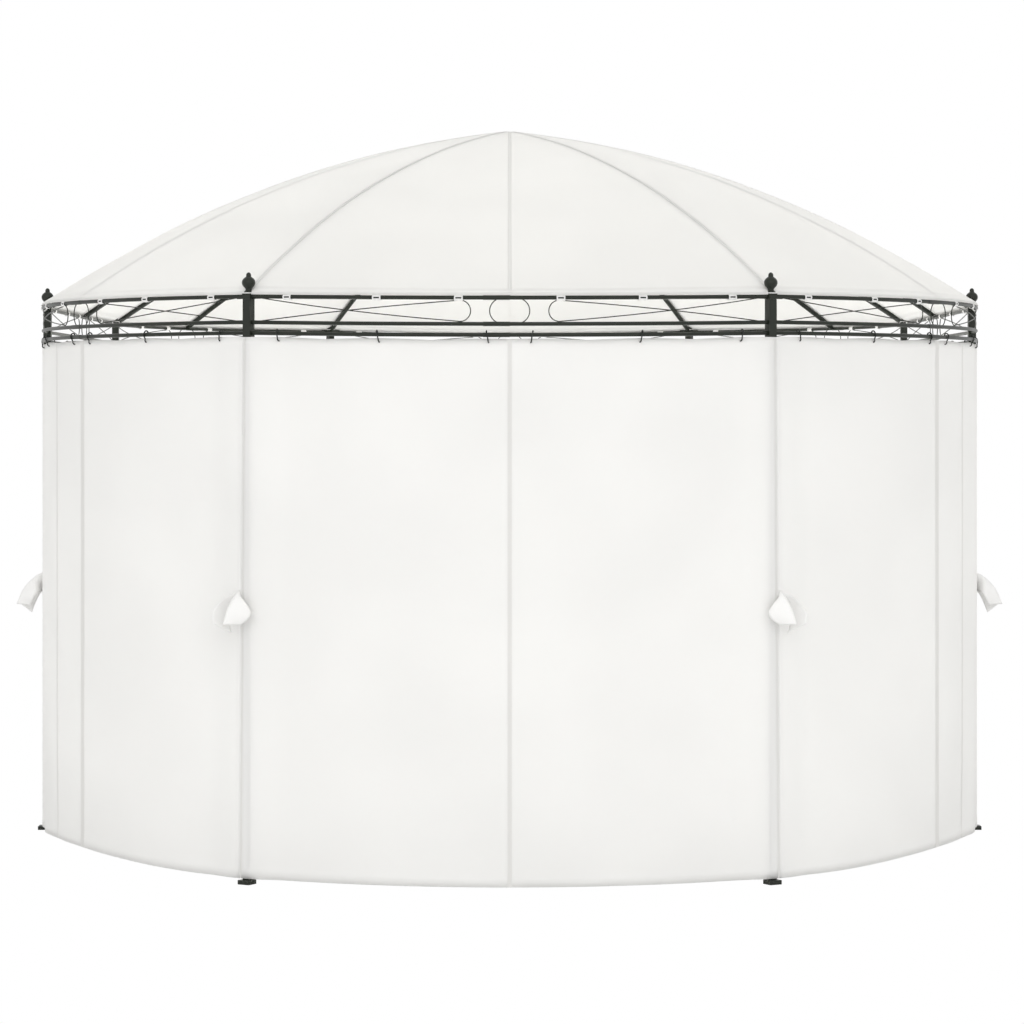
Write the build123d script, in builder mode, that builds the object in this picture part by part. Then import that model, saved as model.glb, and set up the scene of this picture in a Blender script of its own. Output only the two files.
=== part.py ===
"""An oval garden gazebo: a steel frame with scrollwork friezes, a fabric canopy and curtains.

The plan is a rectangle with a half circle at each short end. Eight posts stand on it, and a
bay lies between each post and the next. X is the width, Y the length and Z is up, in
millimetres. The origin is on the floor in the middle of the plan. The front end faces -Y.

An azimuth is the direction of a post, rib or bay seen from the middle of its end's half
circle, in degrees: 0 is the front, 90 the right side and 180 the back.
"""

import os
from math import atan2, cos, degrees, hypot, radians, sin, sqrt

from build123d import *

# Plan
END_RADIUS = 1700.0
STRAIGHT_LENGTH = 2210.0
POST_AZIMUTHS = (30.0, 90.0)
MID_RIB_AZIMUTH = 60.0

# Round ends and bent tubes are drawn in straight runs, with this turn or number of runs
RUN_AZIMUTH = 7.5
ROOF_RUNS = 8

# Heights above the floor, of the bars' centre lines and of the cloth's upper face
TOP_BAR_HEIGHT = 1912.0
MIDDLE_BAR_HEIGHT = 1828.0
BOTTOM_BAR_HEIGHT = 1793.0
PEAK_HEIGHT = 2563.0

# How far the middle of a rib stands above the straight line from its bar to the peak
SIDE_RIB_BOW = 127.5
BETWEEN_RIB_BOW = 115.5
FRONT_RIB_BOW = 104.5

# Steel sections
POST_WIDTH = 28.0
POST_WALL = 1.5
TOP_BAR_DIAMETER = 13.5
LOWER_BAR_DIAMETER = 13.0
TUBE_SIDES = 8
BAR_STOP_GAP = 1.0
WIRE_THICKNESS = 4.0
RIB_DIAMETER = 20.0
SLEEVE_DIAMETER = 18.0
SLEEVE_BORE = 15.2
SLEEVE_LENGTH = 91.0
SLEEVE_HEAD_WIDTH = 31.0
SLEEVE_GRIP = 25.0
SPIGOT_LENGTH = 45.0
HUB_DIAMETER = 92.0
HUB_HEIGHT = 28.0
HUB_SINK = 6.0
HUB_TOP_CHAMFER = 4.0
HUB_FOOT_CHAMFER = 5.0

# Feet
FOOT_WIDTH = 47.0
FOOT_HEIGHT = 14.0
FOOT_CORNER = 4.0

# Finials, from the base up
FINIAL_BASE_RADIUS = 15.0
FINIAL_NECK_RADIUS = 10.0
FINIAL_BELLY_RADIUS = 22.0
FINIAL_BELLY_ANGLE = 45.0
FINIAL_KNOB_RADIUS = 8.0
FINIAL_TIP_RADIUS = 4.0
FINIAL_SIDES = 8
FINIAL_BASE_HEIGHT = 3.0
FINIAL_NECK_HEIGHT = 10.0
FINIAL_BELLY_HEIGHT = 33.0
FINIAL_HEIGHT = 66.0

# Scrollwork: places along the bay, from the middle of the bay
SMALL_SCROLL_END = 39.0
SMALL_SCROLL_BULGE = 64.0
LOOP_BULGE = 125.0
LOOP_SHOULDER = 166.0
LOOP_CROSSING = 528.0
LOOP_END = 842.0
SMALL_SCROLL_RUNS = 5
LOOP_RUNS = 6
CROSSING_RUNS = 3

# Cloth
CANOPY_THICKNESS = 4.0
CANOPY_CROWN_RADIUS = 30.0
CANOPY_EDGE_OVERHANG = 4.0
CANOPY_PANEL_TENSION = 0.85
CURTAIN_THICKNESS = 4.0
CURTAIN_HEM_HEIGHT = 18.0
CURTAIN_DROP_BELOW_BAR = 5.0
CURTAIN_EDGE_GAP = 3.0
TIE_HEIGHT = 913.0
TIE_WIDTH = 62.0
TIE_REACH = 76.0
TIE_DROP = 97.0
TIE_SPREAD = 20.0
TIE_THICKNESS = 3.0
# Shares of the reach and the drop along a tie-back's middle line
TIE_SHAPE = ((0.0, 0.0), (0.2, 0.0), (0.5, 0.12), (0.83, 0.42), (1.0, 1.0))

# Clearances
SEAT_GAP = 0.3
CLOTH_GAP = 0.4
EYELET_GAP = 2.5

HALF_STRAIGHT = STRAIGHT_LENGTH / 2
POST_HALF_WIDTH = POST_WIDTH / 2
POST_TOP = TOP_BAR_HEIGHT - SLEEVE_DIAMETER / 2 - SEAT_GAP
# The cloth is steepest at its edge, where it has to clear the sleeves measured straight up
ROOF_RISE = PEAK_HEIGHT - TOP_BAR_HEIGHT
EDGE_SLOPE_FACTOR = hypot(END_RADIUS, ROOF_RISE + 4 * SIDE_RIB_BOW) / END_RADIUS
CANOPY_LIFT = (SLEEVE_DIAMETER / 2 + CLOTH_GAP + CANOPY_THICKNESS) * EDGE_SLOPE_FACTOR
CANOPY_EDGE_HEIGHT = TOP_BAR_HEIGHT + CANOPY_LIFT
CANOPY_EDGE_RADIUS = END_RADIUS + CANOPY_EDGE_OVERHANG
CURTAIN_INNER_RADIUS = END_RADIUS + POST_HALF_WIDTH + CLOTH_GAP
CURTAIN_OUTER_RADIUS = CURTAIN_INNER_RADIUS + CURTAIN_THICKNESS
CURTAIN_TOP = BOTTOM_BAR_HEIGHT - LOWER_BAR_DIAMETER / 2 - CURTAIN_DROP_BELOW_BAR
END_BAY_HALF_ANGLE = POST_AZIMUTHS[0]
BAY_RUNS = max(2, 2 * round(END_BAY_HALF_ANGLE / RUN_AZIMUTH))
# A run leaves its post at this angle to the round it follows
RUN_TILT = END_BAY_HALF_ANGLE / BAY_RUNS

os.makedirs("parts", exist_ok=True)


def save(piece, name):
    """Label a finished piece and write it to its own file."""
    piece.label = name
    export_step(piece, f"parts/{name}.step")


def end_y(azimuth, back=None):
    """The Y of the centre of the half circle that an azimuth belongs to."""
    if back is None:
        back = cos(radians(azimuth)) < -1e-6
    return HALF_STRAIGHT if back else -HALF_STRAIGHT


def stand_at(azimuth, back=None):
    """A location on the centre of an end, with its -Y turned to face the azimuth."""
    return Location((0, end_y(azimuth, back), 0), (0, 0, azimuth))


def arc_centre(start, middle, end):
    """The centre and radius of the circle through three points."""
    (ax, ay), (bx, by), (cx, cy) = start, middle, end
    twice_area = 2 * (ax * (by - cy) + bx * (cy - ay) + cx * (ay - by))
    a2 = ax * ax + ay * ay
    b2 = bx * bx + by * by
    c2 = cx * cx + cy * cy
    x = (a2 * (by - cy) + b2 * (cy - ay) + c2 * (ay - by)) / twice_area
    y = (a2 * (cx - bx) + b2 * (ax - cx) + c2 * (bx - ax)) / twice_area
    return x, y, hypot(ax - x, ay - y)


def rib_line(bow, spot):
    """Height of the cloth's upper face over a rib, at a distance from the ridge."""
    x, y, radius = arc_centre(
        (CANOPY_CROWN_RADIUS, PEAK_HEIGHT),
        (END_RADIUS / 2, (PEAK_HEIGHT + CANOPY_EDGE_HEIGHT) / 2 + bow),
        (END_RADIUS, CANOPY_EDGE_HEIGHT),
    )
    return y + sqrt(radius * radius - (spot - x) * (spot - x))


def bow_at(azimuth):
    """The bow of the cloth over an end, between those of the ribs on either side."""
    if azimuth < POST_AZIMUTHS[0]:
        return FRONT_RIB_BOW
    if azimuth < MID_RIB_AZIMUTH:
        share = (azimuth - POST_AZIMUTHS[0]) / (MID_RIB_AZIMUTH - POST_AZIMUTHS[0])
        return FRONT_RIB_BOW + share * (BETWEEN_RIB_BOW - FRONT_RIB_BOW)
    share = (azimuth - MID_RIB_AZIMUTH) / (POST_AZIMUTHS[1] - MID_RIB_AZIMUTH)
    return BETWEEN_RIB_BOW + share * (SIDE_RIB_BOW - BETWEEN_RIB_BOW)


def cloth_height(spot, azimuth):
    """Height of the cloth's upper face over an end, drawn nearly flat between its ribs."""
    bow = bow_at(azimuth)
    on_rib = rib_line(bow, spot)
    if azimuth < POST_AZIMUTHS[0]:
        low, high = -POST_AZIMUTHS[0], POST_AZIMUTHS[0]
    elif azimuth < MID_RIB_AZIMUTH:
        low, high = POST_AZIMUTHS[0], MID_RIB_AZIMUTH
    else:
        low, high = MID_RIB_AZIMUTH, POST_AZIMUTHS[1]
    turn = radians(azimuth - (low + high) / 2)
    flat = rib_line(bow, spot * cos(turn) / cos(radians(high - low) / 2))
    off_crown = min(1.0, spot / CANOPY_CROWN_RADIUS - 1)
    hold = off_crown * max(0.0, 1 - (spot / END_RADIUS) ** 3)
    return on_rib + CANOPY_PANEL_TENSION * hold * (flat - on_rib)


def roof_spots():
    """Distances from the ridge where the runs of the roof's sections meet."""
    width = CANOPY_EDGE_RADIUS - CANOPY_CROWN_RADIUS
    return [CANOPY_CROWN_RADIUS + width * i / ROOF_RUNS for i in range(ROOF_RUNS + 1)]


def ribbon(points, width):
    """The closed outline of a flat strip with square ends along a line of points."""
    left, right = [], []
    for i, (x, y) in enumerate(points):
        before = points[max(i - 1, 0)]
        after = points[min(i + 1, len(points) - 1)]
        turns = []
        for start, end in ((before, (x, y)), ((x, y), after)):
            if start != end:
                turns.append(atan2(end[1] - start[1], end[0] - start[0]))
        turn = sum(turns) / len(turns)
        reach = width / 2 / cos((turns[-1] - turns[0]) / 2)
        left.append((x - reach * sin(turn), y + reach * cos(turn)))
        right.append((x + reach * sin(turn), y - reach * cos(turn)))
    return left + right[::-1]


def run_points(radius, low, high):
    """Points on the front end's round between two azimuths, one at each bend of the runs."""
    count = max(1, round((high - low) / (2 * RUN_TILT)))
    turns = [radians(low + (high - low) * i / count) for i in range(count + 1)]
    return [(radius * sin(t), -radius * cos(t)) for t in turns]


# Posts: square tubes with one face turned outward
posts = {
    "post_front_right": (POST_AZIMUTHS[0], False),
    "post_right_front": (POST_AZIMUTHS[1], False),
    "post_right_back": (180 - POST_AZIMUTHS[1], True),
    "post_back_right": (180 - POST_AZIMUTHS[0], True),
    "post_back_left": (180 + POST_AZIMUTHS[0], True),
    "post_left_back": (180 + POST_AZIMUTHS[1], True),
    "post_left_front": (-POST_AZIMUTHS[1], False),
    "post_front_left": (-POST_AZIMUTHS[0], False),
}

with BuildPart() as post:
    with BuildSketch(Plane.XY.offset(FOOT_HEIGHT)):
        with Locations((0, -END_RADIUS)):
            Rectangle(POST_WIDTH, POST_WIDTH)
            inner_width = POST_WIDTH - 2 * POST_WALL
            Rectangle(inner_width, inner_width, mode=Mode.SUBTRACT)
    extrude(amount=POST_TOP - FOOT_HEIGHT)

for name, (azimuth, back) in posts.items():
    save(post.part.moved(stand_at(azimuth, back)), name)

# Feet: square plates under the posts, flush with them inside and wider outside
foot_offset = END_RADIUS + (FOOT_WIDTH - POST_WIDTH) / 2
with BuildPart() as foot:
    with Locations((0, -foot_offset)):
        Box(FOOT_WIDTH, FOOT_WIDTH, FOOT_HEIGHT, align=(Align.CENTER, Align.CENTER, Align.MIN))
    chamfer(foot.faces().sort_by(Axis.Z)[-1].edges(), length=FOOT_CORNER / 2)
    chamfer(foot.edges().filter_by(Axis.Z), length=FOOT_CORNER)

save(Compound([foot.part.moved(stand_at(a, b)) for a, b in posts.values()]), "feet")

# Corner sleeves: a cross tube that takes two top bars, and a spigot that drops into the post
def tube_end(tilt, side, start, length, diameter):
    """A straight piece of octagonal tube that leaves the front post to one side."""
    turn = side * radians(tilt)
    along = (side * cos(turn), side * sin(turn), 0)
    origin = (start * along[0], start * along[1] - END_RADIUS, TOP_BAR_HEIGHT)
    with BuildPart() as tube:
        with BuildSketch(Plane(origin=origin, x_dir=(0, 0, 1), z_dir=along)):
            RegularPolygon(diameter / 2, TUBE_SIDES, rotation=180 / TUBE_SIDES)
        extrude(amount=length)
    return tube.part


def corner_sleeve(left_tilt, right_tilt):
    """The sleeve of a post, with the angle at which a bar leaves it on either side."""
    with BuildPart() as sleeve:
        with BuildSketch(Plane.XY.offset(TOP_BAR_HEIGHT + SLEEVE_DIAMETER / 2)):
            with Locations((0, -END_RADIUS)):
                Rectangle(SLEEVE_HEAD_WIDTH, SLEEVE_HEAD_WIDTH)
        extrude(amount=-SLEEVE_DIAMETER)
        for tilt, side in ((left_tilt, -1), (right_tilt, 1)):
            add(tube_end(tilt, side, 0, SLEEVE_LENGTH / 2, SLEEVE_DIAMETER))
        for tilt, side in ((left_tilt, -1), (right_tilt, 1)):
            bore_start = SLEEVE_LENGTH / 2 - SLEEVE_GRIP
            add(tube_end(tilt, side, bore_start, SLEEVE_GRIP, SLEEVE_BORE), mode=Mode.SUBTRACT)
        with BuildSketch(Plane.XY.offset(TOP_BAR_HEIGHT)):
            with Locations((0, -END_RADIUS)):
                spigot_width = POST_WIDTH - 2 * POST_WALL - 2 * SEAT_GAP
                Rectangle(spigot_width, spigot_width)
        extrude(amount=-(SLEEVE_DIAMETER / 2 + SPIGOT_LENGTH))
    return sleeve.part


curved_sleeve = corner_sleeve(RUN_TILT, RUN_TILT)
straight_right_sleeve = corner_sleeve(RUN_TILT, 0)
straight_left_sleeve = corner_sleeve(0, RUN_TILT)
sleeve_of = {
    "post_right_front": straight_right_sleeve,
    "post_right_back": straight_left_sleeve,
    "post_left_back": straight_right_sleeve,
    "post_left_front": straight_left_sleeve,
}
corner_sleeves = []
for name, (azimuth, back) in posts.items():
    sleeve = sleeve_of.get(name, curved_sleeve)
    corner_sleeves.append(sleeve.moved(stand_at(azimuth, back)))

save(Compound(corner_sleeves), "corner_sleeves")

# Finials: urns on top of the sleeves
finial_seat = TOP_BAR_HEIGHT + SLEEVE_DIAMETER / 2 + SEAT_GAP
belly_edge = FINIAL_BELLY_RADIUS * cos(radians(FINIAL_BELLY_ANGLE))
belly_reach = FINIAL_BELLY_RADIUS * sin(radians(FINIAL_BELLY_ANGLE))
belly_half_edge = FINIAL_BELLY_RADIUS * cos(radians(FINIAL_BELLY_ANGLE / 2))
belly_half_reach = FINIAL_BELLY_RADIUS * sin(radians(FINIAL_BELLY_ANGLE / 2))
knob_middle = FINIAL_HEIGHT - FINIAL_KNOB_RADIUS
finial_rings = (
    (0, FINIAL_BASE_RADIUS),
    (FINIAL_BASE_HEIGHT, FINIAL_BASE_RADIUS),
    (FINIAL_NECK_HEIGHT, FINIAL_NECK_RADIUS),
    (FINIAL_BELLY_HEIGHT - belly_reach, belly_edge),
    (FINIAL_BELLY_HEIGHT - belly_half_reach, belly_half_edge),
    (FINIAL_BELLY_HEIGHT + belly_half_reach, belly_half_edge),
    (FINIAL_BELLY_HEIGHT + belly_reach, belly_edge),
    (knob_middle - FINIAL_TIP_RADIUS, FINIAL_KNOB_RADIUS - FINIAL_TIP_RADIUS / 2),
    (knob_middle + FINIAL_TIP_RADIUS, FINIAL_KNOB_RADIUS),
    (FINIAL_HEIGHT, FINIAL_TIP_RADIUS),
)
with BuildPart() as finial:
    for height, radius in finial_rings:
        with BuildSketch(Plane.XY.offset(height)):
            RegularPolygon(radius, FINIAL_SIDES)
    loft(ruled=True)

finial_spot = Location((0, -END_RADIUS, finial_seat))
save(
    Compound([finial.part.moved(stand_at(a, b) * finial_spot) for a, b in posts.values()]),
    "finials",
)


# Scrollwork, drawn flat with X along the bay from its middle
def scrolls(to_flat):
    """One bay's scroll wires, each place along the bay passed through to_flat."""
    high = TOP_BAR_HEIGHT - TOP_BAR_DIAMETER / 2 + WIRE_THICKNESS / 2
    low = MIDDLE_BAR_HEIGHT + LOWER_BAR_DIAMETER / 2 - WIRE_THICKNESS / 2
    centre = (high + low) / 2
    shoulder_high = high - WIRE_THICKNESS
    shoulder_low = low + WIRE_THICKNESS
    small = ThreePointArc((SMALL_SCROLL_END, high), (SMALL_SCROLL_BULGE, centre), (SMALL_SCROLL_END, low))
    loop = ThreePointArc((LOOP_SHOULDER, shoulder_high), (LOOP_BULGE, centre), (LOOP_SHOULDER, shoulder_low))
    falling = ThreePointArc((LOOP_SHOULDER, shoulder_high), (LOOP_CROSSING, centre), (LOOP_END, low))
    rising = ThreePointArc((LOOP_SHOULDER, shoulder_low), (LOOP_CROSSING, centre), (LOOP_END, high))
    routes = (
        [small @ (i / SMALL_SCROLL_RUNS) for i in range(SMALL_SCROLL_RUNS + 1)],
        [loop @ (i / LOOP_RUNS) for i in range(LOOP_RUNS + 1)],
        [falling @ (i / CROSSING_RUNS) for i in range(CROSSING_RUNS + 1)],
        [rising @ (i / CROSSING_RUNS) for i in range(CROSSING_RUNS + 1)],
    )
    with BuildSketch() as wires:
        for side in (-1, 1):
            for route in routes:
                spots = [(side * to_flat(p.X), p.Y) for p in route]
                with BuildLine():
                    Polyline(*ribbon(spots[::side], WIRE_THICKNESS), close=True)
                make_face()
    return wires.sketch


def curved_bar(height, diameter, inset):
    """A bar in straight runs along the front end bay, an inset short of the posts' middles."""
    points = run_points(END_RADIUS, -END_BAY_HALF_ANGLE, END_BAY_HALF_ANGLE)
    run_length = hypot(points[1][0] - points[0][0], points[1][1] - points[0][1])
    share = inset / run_length
    for end, next_in in ((0, 1), (-1, -2)):
        x = points[end][0] + share * (points[next_in][0] - points[end][0])
        y = points[end][1] + share * (points[next_in][1] - points[end][1])
        points[end] = (x, y)
    with BuildPart() as bar:
        with BuildLine(Plane.XY.offset(height)) as route:
            Polyline(*points)
        with BuildSketch(Plane(origin=route.line @ 0, x_dir=(0, 0, 1), z_dir=route.line % 0)):
            RegularPolygon(diameter / 2, TUBE_SIDES, rotation=180 / TUBE_SIDES)
        sweep(transition=Transition.RIGHT)
    return bar.part


def straight_bar(height, diameter, half_length):
    """A bar along the right side, from -half_length to +half_length."""
    with BuildPart() as bar:
        with BuildSketch(Plane.XZ.offset(-half_length)):
            with Locations((END_RADIUS, height)):
                RegularPolygon(diameter / 2, TUBE_SIDES, rotation=180 / TUBE_SIDES)
        extrude(amount=2 * half_length)
    return bar.part


# Curved bays: top bar, middle bar and scrolls in one welded frame, and the curtain rail
tilt = radians(RUN_TILT)
lower_bar_inset = (POST_HALF_WIDTH + SEAT_GAP) / cos(tilt) + LOWER_BAR_DIAMETER / 2 * sin(tilt)
top_bar_inset = SLEEVE_LENGTH / 2 - SLEEVE_GRIP + BAR_STOP_GAP
bay_depth = END_RADIUS * (1 - cos(radians(END_BAY_HALF_ANGLE)))
outer_run = run_points(END_RADIUS + WIRE_THICKNESS / 2, -END_BAY_HALF_ANGLE, END_BAY_HALF_ANGLE)
inner_run = run_points(END_RADIUS - WIRE_THICKNESS / 2, -END_BAY_HALF_ANGLE, END_BAY_HALF_ANGLE)
curved_wires = scrolls(lambda along: END_RADIUS * sin(along / END_RADIUS))
with BuildPart() as curved_frieze:
    with BuildSketch(Plane.XZ.offset(END_RADIUS - bay_depth - WIRE_THICKNESS)):
        add(curved_wires)
    extrude(amount=bay_depth + 2 * WIRE_THICKNESS)
    with BuildSketch(Plane.XY.offset(MIDDLE_BAR_HEIGHT - WIRE_THICKNESS)):
        with BuildLine():
            Polyline(*outer_run, *inner_run[::-1], close=True)
        make_face()
    extrude(amount=TOP_BAR_HEIGHT - MIDDLE_BAR_HEIGHT + 2 * WIRE_THICKNESS, mode=Mode.INTERSECT)
    add(curved_bar(TOP_BAR_HEIGHT, TOP_BAR_DIAMETER, top_bar_inset))
    add(curved_bar(MIDDLE_BAR_HEIGHT, LOWER_BAR_DIAMETER, lower_bar_inset))
    add(curved_bar(BOTTOM_BAR_HEIGHT, LOWER_BAR_DIAMETER, lower_bar_inset))

curved_bays = {
    "front": (0, False),
    "front_right": (MID_RIB_AZIMUTH, False),
    "back_right": (180 - MID_RIB_AZIMUTH, True),
    "back": (180, True),
    "back_left": (180 + MID_RIB_AZIMUTH, True),
    "front_left": (-MID_RIB_AZIMUTH, False),
}
for name, (azimuth, back) in curved_bays.items():
    save(curved_frieze.part.moved(stand_at(azimuth, back)), f"frieze_{name}")

# Straight bays
straight_stretch = STRAIGHT_LENGTH / (2 * END_RADIUS * radians(END_BAY_HALF_ANGLE))
top_bar_half = HALF_STRAIGHT - top_bar_inset
lower_bar_half = HALF_STRAIGHT - POST_HALF_WIDTH - SEAT_GAP
straight_wires = scrolls(lambda along: along * straight_stretch)
with BuildPart() as straight_frieze:
    with BuildSketch(Plane.YZ.offset(END_RADIUS - WIRE_THICKNESS / 2)):
        add(straight_wires)
    extrude(amount=WIRE_THICKNESS)
    add(straight_bar(TOP_BAR_HEIGHT, TOP_BAR_DIAMETER, top_bar_half))
    add(straight_bar(MIDDLE_BAR_HEIGHT, LOWER_BAR_DIAMETER, lower_bar_half))
    add(straight_bar(BOTTOM_BAR_HEIGHT, LOWER_BAR_DIAMETER, lower_bar_half))

save(straight_frieze.part, "frieze_right")
save(straight_frieze.part.moved(Location((0, 0, 0), (0, 0, 180))), "frieze_left")

# Roof ribs: bent tubes from the hubs down to the top bar, just under the cloth
rib_start = HUB_DIAMETER / 2 + SEAT_GAP


def bent_rib(bow, seat_depth):
    """One rib in the XZ plane, from a hub to the inner side of the bar or sleeve it meets."""
    cloth = [(spot, rib_line(bow, spot)) for spot in roof_spots()]
    slopes = [
        hypot(b[0] - a[0], b[1] - a[1]) / (b[0] - a[0]) for a, b in zip(cloth, cloth[1:])
    ]
    steepest = [max(pair) for pair in zip([1.0] + slopes, slopes + [1.0])]
    clear = CLOTH_GAP + RIB_DIAMETER / 2
    line = [(x, z - CANOPY_THICKNESS - clear * factor) for (x, z), factor in zip(cloth, steepest)]
    rib_end = END_RADIUS - seat_depth - SEAT_GAP
    with BuildPart() as rib:
        with BuildLine(Plane.XZ) as route:
            Polyline(*line)
        with BuildSketch(Plane(origin=route.line @ 0, x_dir=(0, 1, 0), z_dir=route.line % 0)):
            RegularPolygon(RIB_DIAMETER / 2, TUBE_SIDES, rotation=180 / TUBE_SIDES)
        sweep(transition=Transition.RIGHT)
        split(bisect_by=Plane.YZ.offset(rib_start), keep=Keep.TOP)
        split(bisect_by=Plane.YZ.offset(rib_end), keep=Keep.BOTTOM)
    return rib.part


def at_azimuth(azimuth, back):
    """A location that turns the XZ plane's +X to an azimuth of an end."""
    return Location((0, end_y(azimuth, back), 0), (0, 0, azimuth - 90))


front_rib = bent_rib(FRONT_RIB_BOW, SLEEVE_HEAD_WIDTH / 2)
between_rib = bent_rib(BETWEEN_RIB_BOW, TOP_BAR_DIAMETER / 2)
side_rib = bent_rib(SIDE_RIB_BOW, SLEEVE_HEAD_WIDTH / 2)
middle_rib = bent_rib(SIDE_RIB_BOW, TOP_BAR_DIAMETER / 2)
for name, base, back in (("ribs_front", 0, False), ("ribs_back", 180, True)):
    ribs = []
    for side in (-1, 1):
        ribs.append(front_rib.moved(at_azimuth(base + side * POST_AZIMUTHS[0], back)))
        ribs.append(between_rib.moved(at_azimuth(base + side * MID_RIB_AZIMUTH, back)))
    save(Compound(ribs), name)
for name, rib, y in (
    ("arch_front", side_rib, -HALF_STRAIGHT),
    ("arch_middle", middle_rib, 0),
    ("arch_back", side_rib, HALF_STRAIGHT),
):
    halves = [rib.moved(Location((0, y, 0), (0, 0, turn))) for turn in (0, 180)]
    save(Compound(halves), name)

# Hubs and the ridge tubes between them
hub_top = PEAK_HEIGHT - CANOPY_THICKNESS - CLOTH_GAP - HUB_SINK
with BuildPart() as hub:
    with BuildSketch(Plane.XY.offset(hub_top - HUB_HEIGHT)):
        Circle(HUB_DIAMETER / 2)
    extrude(amount=HUB_HEIGHT)
    chamfer(hub.faces().sort_by(Axis.Z)[-1].edges(), length=HUB_TOP_CHAMFER)
    chamfer(hub.faces().sort_by(Axis.Z)[0].edges(), length=HUB_FOOT_CHAMFER)

save(
    Compound([hub.part.moved(Location((0, y, 0))) for y in (-HALF_STRAIGHT, 0, HALF_STRAIGHT)]),
    "hubs",
)

with BuildPart() as ridge_tube:
    ridge_length = HALF_STRAIGHT - 2 * rib_start
    with BuildSketch(Plane.XZ.offset(-rib_start)):
        with Locations((0, hub_top - RIB_DIAMETER / 2)):
            RegularPolygon(RIB_DIAMETER / 2, TUBE_SIDES, rotation=180 / TUBE_SIDES)
    extrude(amount=-ridge_length)

ridge_tubes = [ridge_tube.part.moved(Location((0, 0, 0), (0, 0, turn))) for turn in (0, 180)]
save(Compound(ridge_tubes), "ridge_tubes")


# Canopy: one sewn cloth over the ribs, a thin closed shell
def roof_ring(spot, drop):
    """Points of the cloth at a distance from the ridge, once round the plan, from the front."""
    front = run_points(spot, -POST_AZIMUTHS[1], POST_AZIMUTHS[1])
    middle = len(front) // 2
    half = []
    for i, (x, y) in enumerate(front[middle:]):
        azimuth = i * POST_AZIMUTHS[1] / (len(front) - 1 - middle)
        half.append((x, y - HALF_STRAIGHT, cloth_height(spot, azimuth) - drop))
    right = half + [(x, -y, z) for x, y, z in half[::-1]]
    left = [(-x, y, z) for x, y, z in right[::-1]]
    return right[:-1] + left[:-1]


def flat_face(*corners):
    """A flat face with straight edges between its corners."""
    return Face(Wire.make_polygon(corners, close=True))


cloth_faces = []
outer_rings = [roof_ring(spot, 0) for spot in roof_spots()]
inner_rings = [roof_ring(spot, CANOPY_THICKNESS) for spot in roof_spots()]
around = len(outer_rings[0])
for rings in (outer_rings, inner_rings):
    cloth_faces.append(flat_face(*rings[0]))
    for near, far in zip(rings, rings[1:]):
        for i in range(around):
            j = (i + 1) % around
            if abs(near[i][1] + near[j][1]) < CLOTH_GAP and near[i][0] == near[j][0]:
                cloth_faces.append(flat_face(near[i], near[j], far[j], far[i]))
            else:
                cloth_faces.append(flat_face(near[i], near[j], far[j]))
                cloth_faces.append(flat_face(near[i], far[j], far[i]))
for i in range(around):
    j = (i + 1) % around
    upper, lower = outer_rings[-1], inner_rings[-1]
    cloth_faces.append(flat_face(upper[i], upper[j], lower[j], lower[i]))

with BuildPart() as canopy:
    add(Solid(Shell(cloth_faces)))
    for azimuth, back in posts.values():
        with BuildSketch(Plane.XY.offset(TOP_BAR_HEIGHT)):
            with Locations(stand_at(azimuth, back) * Location((0, -END_RADIUS, 0))):
                RegularPolygon(FINIAL_BASE_RADIUS + EYELET_GAP, TUBE_SIDES)
        extrude(amount=FINIAL_HEIGHT, mode=Mode.SUBTRACT)

save(canopy.part, "canopy")


# Curtains: one hung on each bay, outside the posts
with BuildPart() as curved_curtain:
    edge_angle = END_BAY_HALF_ANGLE - degrees(CURTAIN_EDGE_GAP / 2 / CURTAIN_INNER_RADIUS)
    with BuildSketch(Plane.YZ.rotated((0, 0, -edge_angle))):
        with Locations((-CURTAIN_INNER_RADIUS, CURTAIN_HEM_HEIGHT)):
            Rectangle(
                CURTAIN_THICKNESS,
                CURTAIN_TOP - CURTAIN_HEM_HEIGHT,
                align=(Align.MAX, Align.MIN),
            )
    revolve(axis=Axis.Z, revolution_arc=2 * edge_angle)

for name, (azimuth, back) in curved_bays.items():
    save(curved_curtain.part.moved(stand_at(azimuth, back)), f"curtain_{name}")

with BuildPart() as straight_curtain:
    with BuildSketch(Plane.XY.offset(CURTAIN_HEM_HEIGHT)):
        with Locations((CURTAIN_INNER_RADIUS, 0)):
            Rectangle(
                CURTAIN_THICKNESS,
                STRAIGHT_LENGTH - CURTAIN_EDGE_GAP,
                align=(Align.MIN, Align.CENTER),
            )
    extrude(amount=CURTAIN_TOP - CURTAIN_HEM_HEIGHT)

save(straight_curtain.part, "curtain_right")
save(straight_curtain.part.moved(Location((0, 0, 0), (0, 0, 180))), "curtain_left")

# Tie-backs: two cloth straps that stand out from each post and hang down, spread in a V
tie_root = CURTAIN_OUTER_RADIUS + CLOTH_GAP
tie_root += (TIE_THICKNESS + SEAT_GAP) * sin(radians(TIE_SPREAD))
tie_line = [(out * TIE_REACH, -down * TIE_DROP) for out, down in TIE_SHAPE]
with BuildPart() as strap:
    with BuildSketch(Plane.YZ.offset(SEAT_GAP / 2)):
        with BuildLine():
            spots = ribbon(tie_line, TIE_WIDTH)
            Polyline(*[(-out, up) for out, up in spots], close=True)
        make_face()
    extrude(amount=TIE_THICKNESS)

straps = []
for azimuth, back in posts.values():
    spot = stand_at(azimuth, back) * Location((0, -tie_root, TIE_HEIGHT))
    right_strap = strap.part.moved(spot * Location((0, 0, 0), (0, 0, TIE_SPREAD)))
    left_strap = strap.part.mirror(Plane.YZ).moved(spot * Location((0, 0, 0), (0, 0, -TIE_SPREAD)))
    straps += [left_strap, right_strap]
save(Compound(straps), "tie_backs")
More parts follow.
